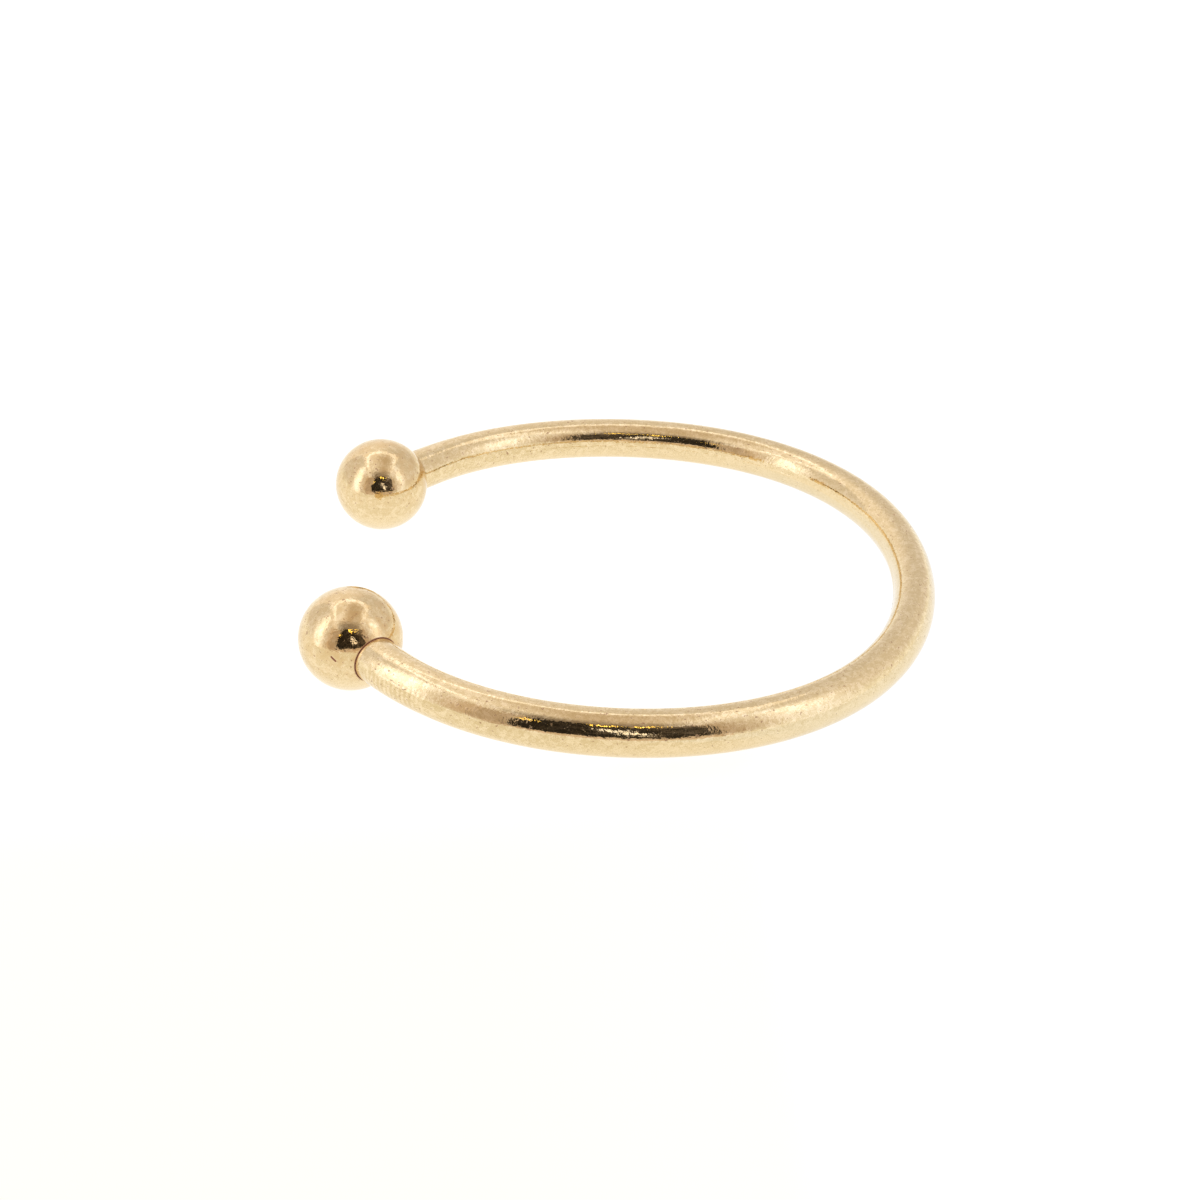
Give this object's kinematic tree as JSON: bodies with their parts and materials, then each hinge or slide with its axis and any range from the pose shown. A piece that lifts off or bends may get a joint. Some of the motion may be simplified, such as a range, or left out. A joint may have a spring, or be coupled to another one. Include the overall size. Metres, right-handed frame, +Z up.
{
  "type": "torc bangle",
  "caption": "Open torc bangle in polished yellow gold: a round tube bent into a hoop, with a hollow ball closing each end. It is turned sideways through its mouth onto the wrist.",
  "frame": {"origin": "on the surface that the bangle lies on, under the middle of its bounding box", "axes": "+Z up, across the bangle as it lies on its side; the mouth between the balls faces -X; ball_front is on the -Y side and ball_back on the +Y side"},
  "size_m": [0.0638, 0.0644, 0.01],
  "materials": {
    "gold": "polished, softened by wear"
  },
  "bodies": {
    "root": {"hoop": "gold", "ball_front": "gold", "ball_back": "gold"}
  },
  "joints": []
}
